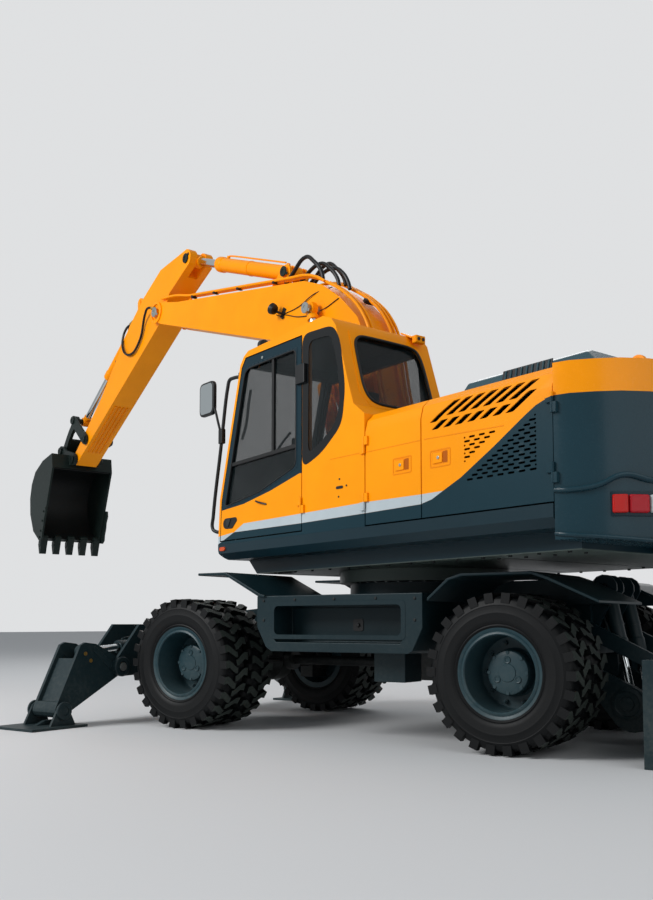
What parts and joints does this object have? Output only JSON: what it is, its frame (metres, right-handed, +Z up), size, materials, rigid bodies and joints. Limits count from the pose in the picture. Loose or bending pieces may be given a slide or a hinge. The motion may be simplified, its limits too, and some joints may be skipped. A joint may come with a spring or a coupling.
{
  "type": "wheeled excavator",
  "caption": "Wheeled excavator with a swinging upper, cab, boom, arm and bucket, twin tyres, front outriggers and a rear blade.",
  "frame": {"origin": "middle of the machine's footprint on the ground", "axes": "+X towards the steering axle, +Y to the left side, +Z up"},
  "size_m": [10.694, 4.9448, 5.2718],
  "materials": {
    "orange_paint": "gloss",
    "slate_paint": "satin",
    "dark_steel": "satin",
    "chrome": "polished",
    "rubber": "matte",
    "black_plastic": "matte",
    "seat_cloth": "matte",
    "window": "polished"
  },
  "bodies": {
    "chassis": {"chassis_frame": "slate_paint", "left_step_box": "slate_paint", "right_step_box": "slate_paint", "rear_fenders": "slate_paint", "front_axle": "dark_steel", "rear_axle_and_drive": "dark_steel"},
    "left_steer": {"left_knuckle": "dark_steel"},
    "left_front_wheels": {"left_front_wheel": "slate_paint", "left_front_tyres": "rubber"},
    "left_rear_wheels": {"left_rear_wheel": "slate_paint", "left_rear_tyres": "rubber"},
    "left_leg": {"left_outrigger_leg": "slate_paint"},
    "left_pad": {"left_outrigger_pad": "slate_paint"},
    "left_leg_barrel": {"left_outrigger_cylinder": "slate_paint"},
    "left_leg_rod": {"left_outrigger_rod": "chrome"},
    "right_steer": {"right_knuckle": "dark_steel"},
    "right_front_wheels": {"right_front_wheel": "slate_paint", "right_front_tyres": "rubber"},
    "right_rear_wheels": {"right_rear_wheel": "slate_paint", "right_rear_tyres": "rubber"},
    "right_leg": {"right_outrigger_leg": "slate_paint"},
    "right_pad": {"right_outrigger_pad": "slate_paint"},
    "right_leg_barrel": {"right_outrigger_cylinder": "slate_paint"},
    "right_leg_rod": {"right_outrigger_rod": "chrome"},
    "blade_body": {"blade": "slate_paint"},
    "blade_arm_pair": {"blade_arms": "slate_paint"},
    "blade_link_pair": {"blade_links": "slate_paint"},
    "blade_barrels": {"blade_cylinders": "slate_paint"},
    "blade_rod_pair": {"right_blade_rod": "chrome", "left_blade_rod": "chrome"},
    "upper": {"platform": "slate_paint", "counterweight": "slate_paint", "engine_housing": "slate_paint", "engine": "dark_steel", "right_tank": "orange_paint", "cab_shell": "orange_paint", "windshield": "window", "right_window": "window", "rear_window": "window", "cab_interior": "black_plastic", "seat": "seat_cloth", "mirror": "black_plastic"},
    "hood_lid": {"hood": "slate_paint"},
    "front_side_door": {"left_front_door": "orange_paint"},
    "rear_side_door": {"left_rear_door": "orange_paint"},
    "pump_door": {"right_rear_door": "orange_paint"},
    "cab_door_leaf": {"cab_door": "orange_paint", "door_window": "window"},
    "boom_body": {"boom": "orange_paint"},
    "boom_barrels": {"boom_cylinders": "orange_paint"},
    "boom_rods": {"right_boom_rod": "chrome", "left_boom_rod": "chrome"},
    "arm_barrel": {"arm_cylinder": "orange_paint"},
    "arm_rod_body": {"arm_rod": "chrome"},
    "arm_body": {"arm": "orange_paint"},
    "bucket_barrel": {"bucket_cylinder": "orange_paint"},
    "bucket_rod_body": {"bucket_rod": "chrome"},
    "rocker_body": {"rocker": "slate_paint"},
    "link_body": {"bucket_link": "slate_paint"},
    "bucket_body": {"bucket": "slate_paint"}
  },
  "joints": [
    {"name": "boom_lift", "type": "hinge", "parent": "upper", "child": "boom_body", "pos_m": [-2.35204, 0.27583, 1.95], "axis": [-0.2924, -0.9563, 0], "range_deg": [-55, 27]},
    {"name": "arm_curl", "type": "hinge", "parent": "boom_body", "child": "arm_body", "pos_m": [1.91825, -1.02972, 4.66501], "axis": [0.2924, 0.9563, 0], "range_deg": [-25, 85]},
    {"name": "bucket_tilt", "type": "hinge", "parent": "arm_body", "child": "bucket_body", "pos_m": [4.31027, -1.76104, 3.18573], "axis": [-0.2924, -0.9563, 0], "range_deg": [-85, 45]},
    {"name": "swing", "type": "hinge", "parent": "chassis", "child": "upper", "pos_m": [-2.43012, 0.36245, 1.2], "axis": [0, 0, 1], "continuous": true},
    {"name": "left_steering", "type": "hinge", "parent": "chassis", "child": "left_steer", "pos_m": [-0.83013, 1.05245, 0.53], "axis": [0, 0, 1], "range_deg": [-30, 30]},
    {"name": "left_front_spin", "type": "hinge", "parent": "left_steer", "child": "left_front_wheels", "pos_m": [-0.83013, 1.31745, 0.53], "axis": [0, 1, 0], "continuous": true},
    {"name": "left_rear_spin", "type": "hinge", "parent": "chassis", "child": "left_rear_wheels", "pos_m": [-3.68012, 1.31745, 0.53], "axis": [0, 1, 0], "continuous": true},
    {"name": "right_steering", "type": "hinge", "parent": "chassis", "child": "right_steer", "pos_m": [-0.83013, -0.32755, 0.53], "axis": [0, 0, 1], "range_deg": [-30, 30]},
    {"name": "right_front_spin", "type": "hinge", "parent": "right_steer", "child": "right_front_wheels", "pos_m": [-0.83013, -0.59255, 0.53], "axis": [0, 1, 0], "continuous": true},
    {"name": "right_rear_spin", "type": "hinge", "parent": "chassis", "child": "right_rear_wheels", "pos_m": [-3.68012, -0.59255, 0.53], "axis": [0, 1, 0], "continuous": true},
    {"name": "left_outrigger", "type": "hinge", "parent": "chassis", "child": "left_leg", "pos_m": [0.15488, 1.49245, 0.48], "axis": [1, 0, 0], "range_deg": [-8, 65]},
    {"name": "left_pad_level", "type": "hinge", "parent": "left_leg", "child": "left_pad", "pos_m": [0.15488, 2.10745, 0.138], "axis": [1, 0, 0], "range_deg": [-35.76, 4.41]},
    {"name": "left_outrigger_barrel", "type": "hinge", "parent": "chassis", "child": "left_leg_barrel", "pos_m": [0.15488, 0.71245, 0.7], "axis": [1, 0, 0], "range_deg": [-1.53, 12.39]},
    {"name": "left_outrigger_extend", "type": "slide", "parent": "left_leg_barrel", "child": "left_leg_rod", "axis": [0, 0.9966, -0.0818], "range_m": [-0.26489, 0.03269]},
    {"name": "right_outrigger", "type": "hinge", "parent": "chassis", "child": "right_leg", "pos_m": [0.15488, -0.76755, 0.48], "axis": [-1, 0, 0], "range_deg": [-8, 65]},
    {"name": "right_pad_level", "type": "hinge", "parent": "right_leg", "child": "right_pad", "pos_m": [0.15488, -1.38255, 0.138], "axis": [-1, 0, 0], "range_deg": [-35.76, 4.41]},
    {"name": "right_outrigger_barrel", "type": "hinge", "parent": "chassis", "child": "right_leg_barrel", "pos_m": [0.15488, 0.01245, 0.7], "axis": [-1, 0, 0], "range_deg": [-1.53, 12.39]},
    {"name": "right_outrigger_extend", "type": "slide", "parent": "right_leg_barrel", "child": "right_leg_rod", "axis": [0, -0.9966, -0.0818], "range_m": [-0.26489, 0.03269]},
    {"name": "blade_lift", "type": "hinge", "parent": "chassis", "child": "blade_arm_pair", "pos_m": [-3.91012, 0.36245, 0.5], "axis": [0, 1, 0], "range_deg": [-12, 45]},
    {"name": "blade_level", "type": "hinge", "parent": "blade_arm_pair", "child": "blade_body", "pos_m": [-4.56013, 0.36245, 0.18], "axis": [0, 1, 0], "range_deg": [-45.01, 12.01]},
    {"name": "blade_link_turn", "type": "hinge", "parent": "chassis", "child": "blade_link_pair", "pos_m": [-3.93012, 0.36245, 0.83], "axis": [0, 1, 0], "range_deg": [-12.01, 45.01]},
    {"name": "blade_barrel", "type": "hinge", "parent": "chassis", "child": "blade_barrels", "pos_m": [-4.05013, 0.36245, 1.11], "axis": [0, -1, 0], "range_deg": [-11.49, 3.07]},
    {"name": "blade_extend", "type": "slide", "parent": "blade_barrels", "child": "blade_rod_pair", "axis": [-0.2054, 0, -0.9787], "range_m": [-0.23881, 0.06376]},
    {"name": "boom_barrel", "type": "hinge", "parent": "upper", "child": "boom_barrels", "pos_m": [-1.82607, 0.11503, 1.6], "axis": [-0.2924, -0.9563, 0], "range_deg": [-55.25, 27.12]},
    {"name": "boom_extend", "type": "slide", "parent": "boom_barrels", "child": "boom_rods", "axis": [0.2584, -0.079, 0.9628], "range_m": [-0.58512, 0.28729]},
    {"name": "arm_barrel_turn", "type": "hinge", "parent": "boom_body", "child": "arm_barrel", "pos_m": [-0.59508, -0.26132, 4.41411], "axis": [-0.2924, -0.9563, 0], "range_deg": [-0.35, 1.18]},
    {"name": "arm_extend", "type": "slide", "parent": "arm_barrel", "child": "arm_rod_body", "axis": [0.8951, -0.2737, 0.3521], "range_m": [-0.30769, 1.04592]},
    {"name": "rocker_turn", "type": "hinge", "parent": "arm_body", "child": "rocker_body", "pos_m": [3.95947, -1.65379, 3.42591], "axis": [-0.2924, -0.9563, 0], "range_deg": [-48.88, 25.88]},
    {"name": "link_turn", "type": "hinge", "parent": "bucket_body", "child": "link_body", "pos_m": [4.72397, -1.88752, 3.36324], "axis": [-0.2924, -0.9563, 0], "range_deg": [-25.21, 47.61]},
    {"name": "bucket_barrel_turn", "type": "hinge", "parent": "arm_body", "child": "bucket_barrel", "pos_m": [2.53958, -1.21968, 4.97784], "axis": [-0.2924, -0.9563, 0], "range_deg": [-4.24, 2.25]},
    {"name": "bucket_extend", "type": "slide", "parent": "bucket_barrel", "child": "bucket_rod_body", "axis": [0.8037, -0.2457, -0.5419], "range_m": [-0.20862, 0.39398]},
    {"name": "cab_door_swing", "type": "hinge", "parent": "upper", "child": "cab_door_leaf", "pos_m": [-2.04681, 1.56492, 2.3], "axis": [0, 0, 1], "range_deg": [0, 110]},
    {"name": "front_side_door_swing", "type": "hinge", "parent": "upper", "child": "front_side_door", "pos_m": [-2.76404, 1.7842, 1.9], "axis": [0, 0, -1], "range_deg": [0, 90]},
    {"name": "rear_side_door_swing", "type": "hinge", "parent": "upper", "child": "rear_side_door", "pos_m": [-4.34194, 2.26661, 1.9], "axis": [0, 0, 1], "range_deg": [0, 85]},
    {"name": "pump_door_swing", "type": "hinge", "parent": "upper", "child": "pump_door", "pos_m": [-5.07988, -0.1471, 1.9], "axis": [0, 0, -1], "range_deg": [0, 85]},
    {"name": "hood_lift", "type": "hinge", "parent": "upper", "child": "hood_lid", "pos_m": [-3.40364, 0.66008, 2.326], "axis": [0.2924, 0.9563, 0], "range_deg": [0, 55]}
  ],
  "couplings": [
    {"joint": "right_steering", "follows": "left_steering", "ratio": 1},
    {"joint": "left_pad_level", "follows": "left_outrigger", "ratio": -0.55},
    {"joint": "left_outrigger_barrel", "follows": "left_outrigger", "ratio": 0.19049},
    {"joint": "left_outrigger_extend", "follows": "left_outrigger", "m_per_rad": -0.2334},
    {"joint": "right_pad_level", "follows": "right_outrigger", "ratio": -0.55},
    {"joint": "right_outrigger_barrel", "follows": "right_outrigger", "ratio": 0.19049},
    {"joint": "right_outrigger_extend", "follows": "right_outrigger", "m_per_rad": -0.2334},
    {"joint": "blade_level", "follows": "blade_lift", "ratio": -1},
    {"joint": "blade_link_turn", "follows": "blade_lift", "ratio": 1},
    {"joint": "blade_barrel", "follows": "blade_lift", "ratio": -0.2553},
    {"joint": "blade_extend", "follows": "blade_lift", "m_per_rad": -0.30394},
    {"joint": "boom_barrel", "follows": "boom_lift", "ratio": 1.0044},
    {"joint": "boom_extend", "follows": "boom_lift", "m_per_rad": 0.60944},
    {"joint": "arm_barrel_turn", "follows": "arm_curl", "ratio": 0.013799},
    {"joint": "arm_extend", "follows": "arm_curl", "m_per_rad": 0.70495},
    {"joint": "rocker_turn", "follows": "bucket_tilt", "ratio": 0.575},
    {"joint": "link_turn", "follows": "bucket_tilt", "ratio": -0.56},
    {"joint": "bucket_barrel_turn", "follows": "bucket_tilt", "ratio": 0.049839},
    {"joint": "bucket_extend", "follows": "bucket_tilt", "m_per_rad": -0.2655}
  ]
}
